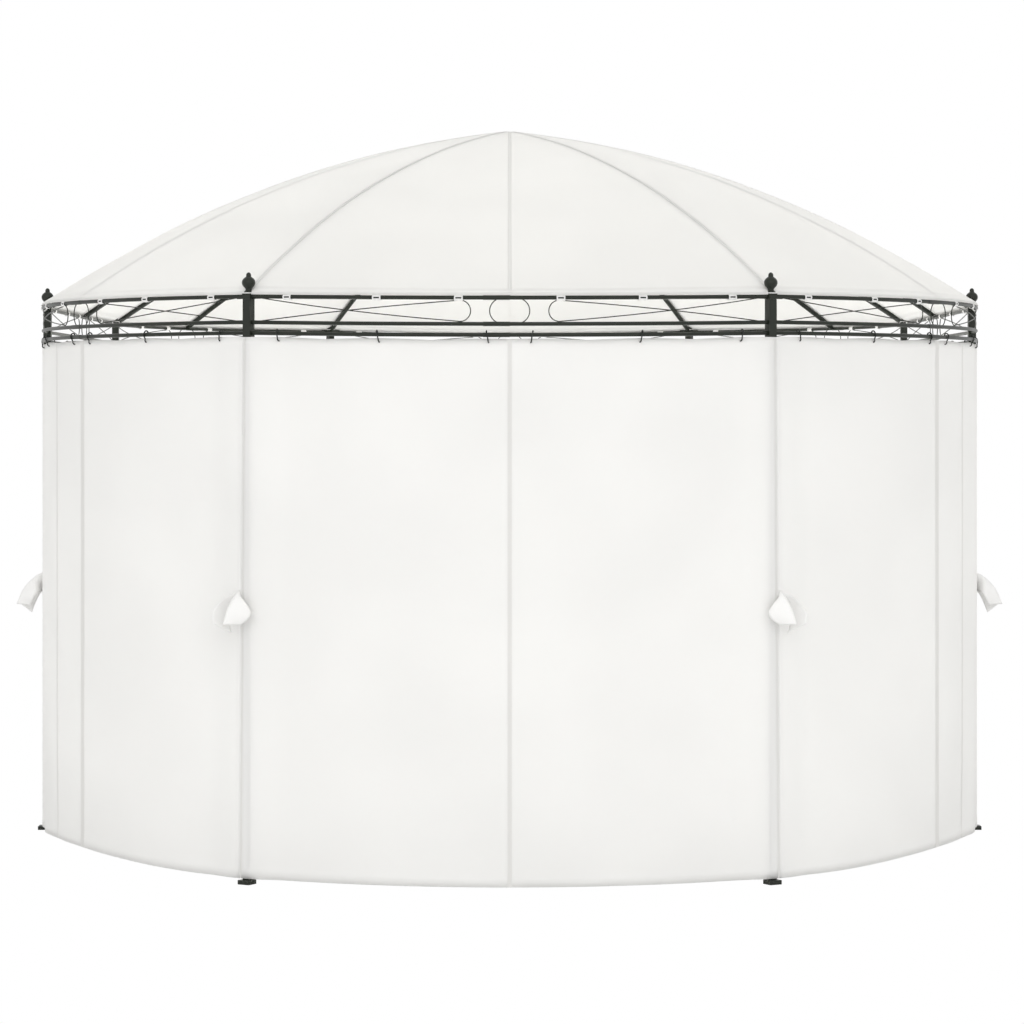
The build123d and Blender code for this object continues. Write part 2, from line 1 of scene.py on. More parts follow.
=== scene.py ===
"""Looks of the oval garden gazebo: cloth roof, curtains, straps, clips, hooks and materials.

Sizes are in metres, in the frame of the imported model: X is the width, Y the length, Z is up,
and the front end faces -Y. A bay lies between two posts, and a place in it is given by its
length along the bay from the bay's middle, its radius from the end's centre, and its height.
"""

from math import atan2, cos, exp, hypot, pi, radians, sin, sqrt

import bpy
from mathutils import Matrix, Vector, noise


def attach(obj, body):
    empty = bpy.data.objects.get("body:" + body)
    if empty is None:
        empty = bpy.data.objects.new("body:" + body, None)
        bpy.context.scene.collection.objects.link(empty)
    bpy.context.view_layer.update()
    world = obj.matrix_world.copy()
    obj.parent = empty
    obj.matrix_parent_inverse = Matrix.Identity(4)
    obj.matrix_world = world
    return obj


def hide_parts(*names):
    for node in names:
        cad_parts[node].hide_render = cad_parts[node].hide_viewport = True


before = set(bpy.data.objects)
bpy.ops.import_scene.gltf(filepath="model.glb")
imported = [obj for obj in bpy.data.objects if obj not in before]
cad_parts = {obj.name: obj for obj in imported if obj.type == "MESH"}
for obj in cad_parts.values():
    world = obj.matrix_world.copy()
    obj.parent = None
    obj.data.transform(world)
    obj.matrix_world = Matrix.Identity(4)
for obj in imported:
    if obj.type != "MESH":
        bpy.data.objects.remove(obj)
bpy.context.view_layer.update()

# Sizes shared with the solids
END_RADIUS = 1.7
HALF_STRAIGHT = 1.105
POST_TURN = 30.0
RIB_TURNS = (30.0, 60.0, 90.0)
TOP_BAR_HEIGHT = 1.912
BOTTOM_BAR_HEIGHT = 1.793
MIDDLE_BAR_HEIGHT = 1.828
TOP_BAR_RADIUS = 0.00675
LOWER_BAR_RADIUS = 0.0065
SLEEVE_RADIUS = 0.009
SLEEVE_HEAD_HALF = 0.0155
RIB_RADIUS = 0.010
HUB_RADIUS = 0.046
POST_HALF = 0.014
SEAT_GAP = 0.0003
TOP_BAR_INSET = 0.0215
BAR_SAG = 0.0115
JOINT_LENGTH = 0.085
JOINT_RISE = 0.0009
BAR_END_GAP = 0.0006
PEG_RADIUS = 0.0022
PEG_HEIGHTS = (0.002, 0.008, 0.0125)
WIRE_RADIUS = 0.0019
RIB_DROP = 0.004
RIB_GAP = 0.0006
SLOPE_STEP = 0.001

# Scrollwork: places along the bay from its middle
SMALL_SCROLL_END = 0.039
SMALL_SCROLL_BULGE = 0.064
LOOP_BULGE = 0.125
LOOP_SHOULDER = 0.166
LOOP_CROSSING = 0.528
LOOP_END = 0.842
SHOULDER_STEP = 0.004

# Roof cloth
PEAK_HEIGHT = 2.563
CROWN_RADIUS = 0.030
ROOF_EDGE_HEIGHT = 1.930
ROOF_EDGE_RADIUS = 1.704
RIB_MID_HEIGHTS = {30.0: 2.351, 60.0: 2.362, 90.0: 2.374}
PANEL_TENSION = 0.85
TENSION_POWER = 3
STRAIGHT_SAG = 0.016
STRAIGHT_SAG_POWER = 0.8
EDGE_SAG_POWER = 9
ROOF_RELIEF = 0.0022
RELIEF_SCALE = 2.6
FINE_RELIEF_SCALE = 6.1
ROOF_THICKNESS = 0.0011
PIPING_RADIUS = 0.0018
PIPING_OUT = 0.001
SEAM_AZIMUTHS = (-90, -30, 0, 30, 90)
SEAM_WIDTH = 0.012
SEAM_RISE = 0.0006
SEAM_CROWN = 1.3
SEAM_OVERRUN = 0.0006
EDGE_HEM = 0.022
EDGE_TURN = 0.002
EDGE_FALL = 0.0055

# Curtains
CURTAIN_RADIUS = 1.7158
CURTAIN_HANG_RADIUS = 1.6945
POST_WRAP = 0.16
CURTAIN_HEM = 0.018
CURTAIN_TOP = 1.7815
CURTAIN_THICKNESS = 0.0009
CURTAIN_GAP = 0.0004
TOP_SCALLOP = 0.005
SCALLOP_ANGLE = 6.0
SCALLOP_POWER = 1.6
SIDE_FOOT_RISE = 0.024
FOOT_RISE_TURNS = (35.0, 64.0)
FOOT_FALL_TURNS = (68.0, 88.0)
HEM_ROWS_HEIGHT = 1.76
BOTTOM_HEM = 0.032
TOP_HEM = 0.030
SIDE_HEM = 0.014
MIDDLE_SEAM = 0.014
HEM_RISE = 0.0008
# Widths of the curtain strips whose greyer cloth is painted shade, and how far they stand out
SIDE_TAPE = 0.006
WIDE_TAPE = 0.030
NARROW_TAPE = 0.010
TAPE_RISE = 0.0006
FOLD_TURN = 9.2
FOLD_HEIGHT = 0.0035
FOLD_WIDTH = 0.012
WAVE_DEPTH = 0.0022
FINE_WAVE_DEPTH = 0.0010
FOOT_WAVE_DEPTH = 0.0022
SEAM_LEAN_TOP = 0.0075
SEAM_LEAN_FOOT = 0.0230
EDGE_SHIFT_POWER = 3
CLOTH_START = 5

# Small pieces
CLIP_ANGLES = (5.5, 14.5, 25.0)
CLIP_LENGTH = 0.028
CLIP_RADIUS = 0.0096
CLIP_DROP = 0.001
CLIP_THICKNESS = 0.0016
CLIP_SLOT_LENGTH = 0.019
CLIP_SLOT_TURN = 0.27
HOOK_ANGLES = (2.5, 14.5, 26.3)
HOOK_WIRE = 0.0023
HOOK_GAP = 0.0004
HOOK_STAND = 0.004
HOOK_LEAN = 0.007
HOOK_LEAN_START = 0.6
HOOK_SHANK = (0.006, 0.014)
HOOK_TIP = ((0.0065, -0.002), (0.003, -0.0065), (-0.002, -0.007))
EYE_OUT = 0.0005
EYELET_DROP = 0.006
TIE_THICKNESS = 0.0014
TIE_ASIDE = 0.018
TIE_TOP = 0.955
SIDE_TIE_DROP = 0.010
SIDE_TIE_HANG = 1.1
TAB_RADIUS = 0.020
TAB_THICKNESS = 0.0028
FINIAL_LIFT = 0.0030

# Steps and sides of the meshes
END_STEPS = 120
STRAIGHT_STEPS = 44
ROOF_ROWS = 46
SEAM_STEPS = 60
BAR_STEPS = 48
JOINT_STEPS = 6
RIB_STEPS = 30
SCROLL_STEPS = 24
LOOP_STEPS = 30
TAPE_STEPS = 96
STRAP_STEPS = 8
CURTAIN_STEP = 0.013
CURTAIN_ROW = 0.018
BREAK_STEP = 0.0012
BREAK_CLEARANCE = 0.004
BAR_SIDES = 12
WIRE_SIDES = 6
FINIAL_SIDES = 28
CLIP_SIDES = 20
TAB_SIDES = 24

# Light: the sky's even part and its brighter front, and the powers and places of two lamps.
# The inside lamp isn't real. It stands for the gazebo's bright inside.
SKY_EVEN = 0.88
SKY_FRONT = 0.54
KEY_POWER = 84
KEY_PLACE = (0.0, -14.0, 6.5)
KEY_TARGET = (0, 0, 1.3)
KEY_SIZE = (9, 5)
INSIDE_POWER = 74
INSIDE_PLACE = (0.0, 0.0, 0.03)
INSIDE_TARGET = (0, 0, 2.0)
INSIDE_SIZE = (2.2, 4.2)

# Slots of the record
STEEL = "frame_steel"
ROOF = "canopy_cloth"
CURTAIN = "curtain_cloth"
STRAP = "strap_cloth"


# Camera: level, at the photograph's viewing angle, with the picture taken as 1024 x 1024
PICTURE = 1024
HORIZON_ROW = 410
CENTRE_COLUMN = 509.7
CAMERA_DISTANCE = 12.8
CAMERA_HEIGHT = 1.542
FOCAL_PIXELS = 3479.6
SENSOR = 36.0
FAR_CLIP = 200

camera_data = bpy.data.cameras.new("camera")
camera = bpy.data.objects.new("camera", camera_data)
bpy.context.scene.collection.objects.link(camera)
camera.location = (0, -HALF_STRAIGHT - CAMERA_DISTANCE, CAMERA_HEIGHT)
camera.rotation_euler = (pi / 2, 0, 0)
camera_data.sensor_width = SENSOR
camera_data.lens = FOCAL_PIXELS * SENSOR / PICTURE
camera_data.shift_x = (PICTURE / 2 - CENTRE_COLUMN) / PICTURE
camera_data.shift_y = (HORIZON_ROW - PICTURE / 2) / PICTURE
camera_data.clip_end = FAR_CLIP
bpy.context.scene.camera = camera


# Bays
class Bay:
    """One bay: round an end's centre at a middle azimuth, or along a straight side."""

    def __init__(self, name, azimuth, centre_y, straight):
        self.name = name
        self.azimuth = azimuth
        self.centre_y = centre_y
        self.straight = straight
        self.half = HALF_STRAIGHT if straight else END_RADIUS * radians(POST_TURN)

    def place(self, along, radius, height):
        """The point at a length along the bay, a radius and a height."""
        turn = radians(self.azimuth)
        if self.straight:
            side = 1 if self.azimuth == 90 else -1
            return Vector((side * radius, side * along, height))
        turn += along / END_RADIUS
        return Vector((radius * sin(turn), self.centre_y - radius * cos(turn), height))

    def at_angle(self, angle):
        """The length along the bay for an angle of a curved bay, spread over a straight one."""
        return self.half * angle / POST_TURN


BAYS = [
    Bay("front", 0, -HALF_STRAIGHT, False),
    Bay("front_right", 60, -HALF_STRAIGHT, False),
    Bay("right", 90, 0, True),
    Bay("back_right", 120, HALF_STRAIGHT, False),
    Bay("back", 180, HALF_STRAIGHT, False),
    Bay("back_left", 240, HALF_STRAIGHT, False),
    Bay("left", 270, 0, True),
    Bay("front_left", 300, -HALF_STRAIGHT, False),
]

# Posts, as the end's centre and the azimuth
POSTS = [(-HALF_STRAIGHT, a) for a in (-90, -30, 30, 90)]
POSTS += [(HALF_STRAIGHT, a) for a in (90, 150, 210, 270)]


def level_direction(azimuth):
    """The level direction at an azimuth: 0 is to the front and 90 to the right."""
    turn = radians(azimuth)
    return Vector((sin(turn), -cos(turn), 0))


def post_place(centre_y, azimuth, height):
    """The point on a post's middle line at a height."""
    return Vector((0, centre_y, height)) + END_RADIUS * level_direction(azimuth)


def mirrored(angles):
    """Angles on both sides of a bay's middle, in order."""
    return sorted([-a for a in angles] + list(angles))


# Meshes
class Gather:
    """Vertices and faces of many small shapes that become one piece."""

    def __init__(self):
        self.verts = []
        self.faces = []
        self.uvs = []

    def grid(self, rows, closed_across=False, uvs=None):
        """Add a grid of points, joined into four-sided faces."""
        start = len(self.verts)
        wide = len(rows[0])
        for i, row in enumerate(rows):
            for j, point in enumerate(row):
                self.verts.append(point)
                self.uvs.append(uvs[i][j] if uvs else (0, 0))
        for i in range(len(rows) - 1):
            for j in range(wide if closed_across else wide - 1):
                a = start + i * wide + j
                b = start + i * wide + (j + 1) % wide
                self.faces.append((a, b, b + wide, a + wide))

    def fan(self, ring):
        """Close a ring of points with one face."""
        start = len(self.verts)
        self.verts.extend(ring)
        self.uvs.extend([(0, 0)] * len(ring))
        self.faces.append(tuple(range(start, start + len(ring))))

    def tube(self, path, radius, sides=8):
        """Add a round wire along a path, with its ends closed."""
        rings = []
        up = Vector((0, 0, 1))
        for i, point in enumerate(path):
            ahead = path[min(i + 1, len(path) - 1)] - path[max(i - 1, 0)]
            ahead.normalize()
            side = ahead.cross(up)
            if side.length < 0.15:
                side = ahead.cross(Vector((1, 0, 0)))
            side.normalize()
            if i and side.dot(last_side) < 0:
                side = -side
            last_side = side
            over = side.cross(ahead)
            turns = [2 * pi * k / sides for k in range(sides)]
            rings.append([point + radius * (cos(t) * side + sin(t) * over) for t in turns])
        self.grid(rings, closed_across=True)
        self.fan(rings[0])
        self.fan(list(reversed(rings[-1])))

    def turned(self, foot, profile, sides):
        """Add a shape turned round an upright axis, from the heights and radii of its profile."""
        turns = [2 * pi * k / sides for k in range(sides)]
        rings = [
            [foot + Vector((radius * cos(t), radius * sin(t), up)) for t in turns]
            for up, radius in profile
        ]
        self.grid(rings, closed_across=True)

    def piece(self, name, material, slot):
        """Make the gathered shapes into one smooth piece, with its material. The slot argument is
        not used.
        """
        mesh = bpy.data.meshes.new(name)
        mesh.from_pydata([tuple(v) for v in self.verts], [], self.faces)
        layer = mesh.uv_layers.new(name="cloth")
        for loop in mesh.loops:
            layer.data[loop.index].uv = self.uvs[loop.vertex_index]
        mesh.validate()
        for polygon in mesh.polygons:
            polygon.use_smooth = True
        made = bpy.data.objects.new(name, mesh)
        bpy.context.scene.collection.objects.link(made)
        made.data.materials.append(material)
        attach(made, "root")
        return made


def thicken(piece, thickness):
    """Give a single sheet its thickness, inwards."""
    solid = piece.modifiers.new("thickness", "SOLIDIFY")
    solid.thickness = thickness
    solid.offset = -1
    solid.use_even_offset = False


def smooth_step(low, high, value):
    """0 below low, 1 above high and a smooth ramp between."""
    t = min(1.0, max(0.0, (value - low) / (high - low)))
    return t * t * (3 - 2 * t)


# Materials
def node_material(name):
    """A new material and its node tree, Principled shader and a helper that adds nodes."""
    material = bpy.data.materials.new(name)
    material.use_nodes = True
    tree = material.node_tree
    shader = tree.nodes["Principled BSDF"]

    def add(kind, values=None, **settings):
        node = tree.nodes.new(kind)
        for key, value in settings.items():
            setattr(node, key, value)
        for key, value in (values or {}).items():
            node.inputs[key].default_value = value
        return node

    return material, tree, shader, add


def color_ramp(add, places, color, shades):
    """A ramp between two shades of a color."""
    ramp = add("ShaderNodeValToRGB")
    for element, place, shade in zip(ramp.color_ramp.elements, places, shades):
        element.position = place
        element.color = tuple(min(1.0, c * shade) for c in color) + (1,)
    return ramp


def cloth_material(name, color, weave, through, sheen):
    """Woven cloth: two thread directions from the cloth's own UV in metres, and slight mottling."""
    material, tree, shader, add = node_material(name)
    links = tree.links
    uv = add("ShaderNodeUVMap", uv_map="cloth")
    place = add("ShaderNodeTexCoord")
    mottle = add("ShaderNodeTexNoise", {"Scale": 2.2, "Detail": 1.0})
    links.new(place.outputs["Object"], mottle.inputs["Vector"])
    ramp = color_ramp(add, (0.35, 0.65), color, (0.985, 1.01))
    links.new(mottle.outputs["Fac"], ramp.inputs["Fac"])
    threads = []
    for direction in ("X", "Y"):
        wave = add(
            "ShaderNodeTexWave", {"Scale": weave, "Distortion": 0.0},
            wave_type="BANDS", bands_direction=direction,
        )
        links.new(uv.outputs["UV"], wave.inputs["Vector"])
        threads.append(wave)
    cross = add("ShaderNodeMath", operation="MULTIPLY")
    links.new(threads[0].outputs["Fac"], cross.inputs[0])
    links.new(threads[1].outputs["Fac"], cross.inputs[1])
    bump = add("ShaderNodeBump", {"Strength": 0.35, "Distance": 0.0004})
    links.new(cross.outputs[0], bump.inputs["Height"])
    links.new(ramp.outputs["Color"], shader.inputs["Base Color"])
    links.new(bump.outputs["Normal"], shader.inputs["Normal"])
    shader.inputs["Roughness"].default_value = 0.85
    shader.inputs["Sheen Weight"].default_value = sheen
    shader.inputs["Specular IOR Level"].default_value = 0.25
    glow = add("ShaderNodeBsdfTranslucent")
    links.new(ramp.outputs["Color"], glow.inputs["Color"])
    mix = add("ShaderNodeMixShader")
    mix.inputs[0].default_value = through
    links.new(shader.outputs["BSDF"], mix.inputs[1])
    links.new(glow.outputs["BSDF"], mix.inputs[2])
    output = tree.nodes["Material Output"]
    links.new(mix.outputs[0], output.inputs["Surface"])
    return material


def steel_material(name, color, roughness):
    """Powder-coated steel: fine orange-peel bump, and a slightly uneven dark grey green."""
    material, tree, shader, add = node_material(name)
    links = tree.links
    place = add("ShaderNodeTexCoord")
    peel = add("ShaderNodeTexNoise", {"Scale": 900.0, "Detail": 3.0})
    links.new(place.outputs["Object"], peel.inputs["Vector"])
    patch = add("ShaderNodeTexNoise", {"Scale": 14.0, "Detail": 4.0})
    links.new(place.outputs["Object"], patch.inputs["Vector"])
    ramp = color_ramp(add, (0.3, 0.75), color, (0.85, 1.15))
    links.new(patch.outputs["Fac"], ramp.inputs["Fac"])
    links.new(ramp.outputs["Color"], shader.inputs["Base Color"])
    gloss = add("ShaderNodeMapRange", {"To Min": roughness - 0.06, "To Max": roughness + 0.08})
    links.new(patch.outputs["Fac"], gloss.inputs["Value"])
    links.new(gloss.outputs["Result"], shader.inputs["Roughness"])
    bump = add("ShaderNodeBump", {"Strength": 0.25, "Distance": 0.0002})
    links.new(peel.outputs["Fac"], bump.inputs["Height"])
    links.new(bump.outputs["Normal"], shader.inputs["Normal"])
    shader.inputs["Metallic"].default_value = 0.0
    shader.inputs["Specular IOR Level"].default_value = 0.3
    return material


steel = steel_material("powder_coated_steel", (0.014, 0.0175, 0.012), 0.32)
hook_steel = steel_material("hook_wire", (0.016, 0.018, 0.016), 0.35)
roof_cloth = cloth_material("roof_cloth", (0.893, 0.889, 0.872), 260.0, 0.40, 0.05)
curtain_cloth = cloth_material("curtain_cloth", (0.925, 0.921, 0.906), 320.0, 0.27, 0.08)
strap_cloth = cloth_material("strap_webbing", (0.95, 0.945, 0.93), 150.0, 0.15, 0.10)
# Greyer cloth of the curtain strips: painted shade for the shaded lines at the seams, the post
# edges and the folds
seam_shade_cloth = cloth_material("curtain_painted_seam_shade", (0.865, 0.858, 0.838), 320.0, 0.30, 0.08)

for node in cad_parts.values():
    node.data.materials.clear()
    node.data.materials.append(steel)


# Roof cloth
def circle_through(a, b, c):
    """Centre and radius of the circle through three points in a plane."""
    twice = 2 * (a[0] * (b[1] - c[1]) + b[0] * (c[1] - a[1]) + c[0] * (a[1] - b[1]))
    sa, sb, sc = (p[0] ** 2 + p[1] ** 2 for p in (a, b, c))
    x = (sa * (b[1] - c[1]) + sb * (c[1] - a[1]) + sc * (a[1] - b[1])) / twice
    y = (sa * (c[0] - b[0]) + sb * (a[0] - c[0]) + sc * (b[0] - a[0])) / twice
    return x, y, hypot(a[0] - x, a[1] - y)


def rib_height(radius, mid_height):
    """Height of the cloth over a rib, at a radius from the hub."""
    x, y, r = circle_through(
        (CROWN_RADIUS, PEAK_HEIGHT), (END_RADIUS / 2, mid_height), (END_RADIUS, ROOF_EDGE_HEIGHT)
    )
    return y + sqrt(r * r - (radius - x) ** 2)


def mid_height_at(turn):
    """Mid height of the rib line at an azimuth from the end's middle, between the ribs'."""
    turn = max(turn, RIB_TURNS[0])
    for low, high in zip(RIB_TURNS, RIB_TURNS[1:]):
        if turn <= high:
            t = (turn - low) / (high - low)
            return RIB_MID_HEIGHTS[low] * (1 - t) + RIB_MID_HEIGHTS[high] * t
    return RIB_MID_HEIGHTS[RIB_TURNS[-1]]


def end_roof_height(radius, azimuth):
    """Height of the roof cloth over an end: pulled nearly flat between its ribs."""
    turn = abs(azimuth)
    base = rib_height(radius, mid_height_at(turn))
    if turn < RIB_TURNS[0]:
        middle, half = 0.0, RIB_TURNS[0]
    else:
        low, high = RIB_TURNS[:2] if turn < RIB_TURNS[1] else RIB_TURNS[1:]
        middle, half = (low + high) / 2, (high - low) / 2
    reach = radius * cos(radians(turn - middle)) / cos(radians(half))
    flat = rib_height(reach, mid_height_at(turn))
    hold = 1 - (radius / END_RADIUS) ** TENSION_POWER
    return base + PANEL_TENSION * hold * (flat - base)


def side_roof_height(radius, y):
    """Height of the roof cloth over the straight middle, sagging between the arches."""
    t = (abs(y) / HALF_STRAIGHT) % 1.0
    spread = sin(pi * min(1.0, radius / END_RADIUS)) ** STRAIGHT_SAG_POWER
    sag = STRAIGHT_SAG * 4 * t * (1 - t) * spread
    return rib_height(radius, RIB_MID_HEIGHTS[90.0]) - sag


def roof_point(station, radius, lift=0.0):
    """A point of the roof cloth at a station round the plan and a radius from the ridge."""
    kind, side, value = station
    if kind == "end":
        turn = radians(value)
        height = end_roof_height(radius, value)
        if abs(value) < POST_TURN:
            near_edge = (radius / ROOF_EDGE_RADIUS) ** EDGE_SAG_POWER
            height -= BAR_SAG * (1 - (value / POST_TURN) ** 2) * near_edge
        x = radius * sin(turn)
        y = HALF_STRAIGHT + radius * cos(turn)
        spot = Vector((side * -x, side * y, height + lift))
    else:
        spot = Vector((side * radius, side * value, side_roof_height(radius, value) + lift))
    relief = noise.noise(spot * RELIEF_SCALE) + 0.5 * noise.noise(spot * FINE_RELIEF_SCALE)
    spot.z += ROOF_RELIEF * relief
    return spot


def stations():
    """Places round the plan in order, as (kind, side, azimuth or y)."""
    found = []
    step = 180 / END_STEPS
    for side in (1, -1):
        for i in range(STRAIGHT_STEPS):
            value = -HALF_STRAIGHT + 2 * HALF_STRAIGHT * i / STRAIGHT_STEPS
            found.append(("side", side, value))
        for i in range(END_STEPS):
            found.append(("end", side, -90 + i * step))
    return found


def roof_radii():
    """Radii of the roof cloth's rows, with a close pair where its edge hem starts."""
    reach = ROOF_EDGE_RADIUS - CROWN_RADIUS
    radii = [CROWN_RADIUS + reach * (i / ROOF_ROWS) for i in range(ROOF_ROWS + 1)]
    return sorted(radii + [ROOF_EDGE_RADIUS - EDGE_HEM, ROOF_EDGE_RADIUS - EDGE_HEM + BREAK_STEP])


def roof_rows():
    """The roof cloth's points and their places on the cloth, from the crown to the edge."""
    rows, uvs = [], []
    step = pi * END_RADIUS / END_STEPS
    for radius in roof_radii():
        lift = HEM_RISE if radius > ROOF_EDGE_RADIUS - EDGE_HEM + BREAK_STEP / 2 else 0.0
        rows.append([roof_point(s, radius, lift) for s in round_plan])
        uvs.append([(i * step, radius) for i in range(len(round_plan))])
    rows.append([roof_point(s, ROOF_EDGE_RADIUS + EDGE_TURN, -EDGE_FALL) for s in round_plan])
    uvs.append([(i * step, ROOF_EDGE_RADIUS + EDGE_FALL) for i in range(len(round_plan))])
    return rows, uvs


round_plan = stations()
rows, uvs = roof_rows()
rows = [list(reversed(row)) for row in rows]
roof = Gather()
roof.grid(rows, closed_across=True, uvs=uvs)
# The crown is closed with a face per pair of places on both sides of the front's middle
count = len(rows[0])
front_middle = count - 1 - (2 * STRAIGHT_STEPS + END_STEPS + END_STEPS // 2)
for k in range(count // 2):
    ring = [(front_middle - k) % count, (front_middle - k - 1) % count]
    ring += [(front_middle + k + 1) % count, (front_middle + k) % count]
    roof.faces.append(tuple(dict.fromkeys(ring)))
canopy = roof.piece("roof_cloth", roof_cloth, ROOF)
thicken(canopy, ROOF_THICKNESS)
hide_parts("canopy")


# Seam tapes, piping and hem of the roof
def tape(gather, points, across, width, rise):
    """Add a flat band along points, with a side direction for each point."""
    rows = []
    for point, side in zip(points, across):
        edge = side * width / 2
        lift, crown = Vector((0, 0, rise)), Vector((0, 0, rise * SEAM_CROWN))
        rows.append(
            [point - edge, point - edge + lift, point + crown, point + edge + lift, point + edge]
        )
    gather.grid(rows)


def roof_line(station):
    """Points of the roof cloth from the crown to the edge on one line."""
    reach = ROOF_EDGE_RADIUS + SEAM_OVERRUN - CROWN_RADIUS
    radii = [CROWN_RADIUS + reach * i / SEAM_STEPS for i in range(SEAM_STEPS + 1)]
    return [roof_point(station, r) for r in radii]


seams = Gather()
for side in (1, -1):
    for azimuth in SEAM_AZIMUTHS:
        line = roof_line(("end", side, azimuth))
        turn = radians(azimuth)
        across = Vector((-side * cos(turn), -side * sin(turn), 0))
        tape(seams, line, [across] * len(line), SEAM_WIDTH, SEAM_RISE)
    line = roof_line(("side", side, 0.0))
    tape(seams, line, [Vector((0, side, 0))] * len(line), SEAM_WIDTH, SEAM_RISE)
seams.piece("roof_seams", roof_cloth, ROOF)

piping = Gather()
edge_radius = ROOF_EDGE_RADIUS + EDGE_TURN + PIPING_OUT
edge = [roof_point(s, edge_radius, -EDGE_FALL) for s in round_plan]
edge.append(edge[0])
piping.tube(edge, PIPING_RADIUS)
piping.piece("roof_piping", roof_cloth, ROOF)


# Friezes: the bars of a bay, sleeved in the middle, and its scroll wires
def bar_sag(bay, along):
    """How far the bars hang down at a place. Only the front and back bays' bars do."""
    if bay.azimuth not in (0, 180):
        return 0.0
    return BAR_SAG * (1 - (along / bay.half) ** 2)


def route(start, middle, end, count):
    """Places and heights along the circle through three of them."""
    x, y, r = circle_through(start, middle, end)
    first = atan2(start[1] - y, start[0] - x)
    half = atan2(middle[1] - y, middle[0] - x)
    last = atan2(end[1] - y, end[0] - x)
    span = (last - first) % (2 * pi)
    if (half - first) % (2 * pi) > span:
        span -= 2 * pi
    turns = [first + span * i / count for i in range(count + 1)]
    return [(x + r * cos(t), y + r * sin(t)) for t in turns]


def bar_path(bay, low, high, height, steps):
    """Points along a bay's bar, between two places."""
    places = [low + (high - low) * i / steps for i in range(steps + 1)]
    return [bay.place(a, END_RADIUS, height - bar_sag(bay, a)) for a in places]


for bay in BAYS:
    frieze = Gather()
    stretch = bay.half / (END_RADIUS * radians(POST_TURN))
    for height, radius, inset in (
        (TOP_BAR_HEIGHT, TOP_BAR_RADIUS, TOP_BAR_INSET),
        (MIDDLE_BAR_HEIGHT, LOWER_BAR_RADIUS, POST_HALF + BAR_END_GAP),
        (BOTTOM_BAR_HEIGHT, LOWER_BAR_RADIUS, POST_HALF + BAR_END_GAP),
    ):
        reach = bay.half - inset
        frieze.tube(bar_path(bay, -reach, reach, height, BAR_STEPS), radius, BAR_SIDES)
        joint = bar_path(bay, 0, -JOINT_LENGTH, height, JOINT_STEPS)
        frieze.tube(joint, radius + JOINT_RISE, BAR_SIDES)
    peg = bay.place(0, END_RADIUS, TOP_BAR_HEIGHT - bar_sag(bay, 0))
    frieze.tube([peg + Vector((0, 0, z)) for z in PEG_HEIGHTS], PEG_RADIUS)
    high = TOP_BAR_HEIGHT - TOP_BAR_RADIUS + WIRE_RADIUS
    low = MIDDLE_BAR_HEIGHT + LOWER_BAR_RADIUS - WIRE_RADIUS
    centre = (high + low) / 2
    upper, lower = high - SHOULDER_STEP, low + SHOULDER_STEP
    bulge, crossing = (SMALL_SCROLL_BULGE, centre), (LOOP_CROSSING, centre)
    routes = (
        route((SMALL_SCROLL_END, high), bulge, (SMALL_SCROLL_END, low), SCROLL_STEPS),
        route((LOOP_SHOULDER, upper), (LOOP_BULGE, centre), (LOOP_SHOULDER, lower), LOOP_STEPS),
        route((LOOP_SHOULDER, upper), crossing, (LOOP_END, low), LOOP_STEPS),
        route((LOOP_SHOULDER, lower), crossing, (LOOP_END, high), LOOP_STEPS),
    )
    for side in (-1, 1):
        for spots in routes:
            path = [
                bay.place(side * a * stretch, END_RADIUS, z - bar_sag(bay, a * stretch))
                for a, z in spots
            ]
            frieze.tube(path, WIRE_RADIUS, WIRE_SIDES)
    piece = frieze.piece("bars_" + bay.name, steel, STEEL)
    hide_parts("frieze_" + bay.name)

# Finials: height and radius along the turned profile
FINIAL_PROFILE = (
    (0.0000, 0.0000), (0.0000, 0.0150), (0.0022, 0.0156), (0.0040, 0.0140), (0.0065, 0.0112),
    (0.0095, 0.0100), (0.0125, 0.0108), (0.0160, 0.0138), (0.0200, 0.0176), (0.0245, 0.0205),
    (0.0290, 0.0219), (0.0335, 0.0222), (0.0380, 0.0214), (0.0425, 0.0192), (0.0462, 0.0160),
    (0.0490, 0.0122), (0.0510, 0.0094), (0.0530, 0.0082), (0.0555, 0.0084), (0.0585, 0.0082),
    (0.0615, 0.0070), (0.0640, 0.0048), (0.0655, 0.0024), (0.0660, 0.0000),
)
POST_TOP = TOP_BAR_HEIGHT + SLEEVE_RADIUS + SEAT_GAP
finials = Gather()
for centre_y, azimuth in POSTS:
    foot = post_place(centre_y, azimuth, POST_TOP + FINIAL_LIFT)
    finials.turned(foot, FINIAL_PROFILE, FINIAL_SIDES)
finial_piece = finials.piece("turned_finials", steel, STEEL)
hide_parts("finials")


# Ribs and arches: bent tubes under the cloth
def rib_path(origin, azimuth, mid_height, seat):
    """The middle line of a rib from its hub to its seat."""
    out = level_direction(azimuth)
    start = HUB_RADIUS + SEAT_GAP
    end = END_RADIUS - seat - SEAT_GAP
    path = []
    for i in range(RIB_STEPS + 1):
        radius = start + (end - start) * i / RIB_STEPS
        ahead = rib_height(radius + SLOPE_STEP, mid_height)
        slope = (ahead - rib_height(radius - SLOPE_STEP, mid_height)) / (2 * SLOPE_STEP)
        drop = RIB_DROP + (RIB_RADIUS + RIB_GAP) * hypot(1, slope)
        path.append(origin + out * radius + Vector((0, 0, rib_height(radius, mid_height) - drop)))
    return path


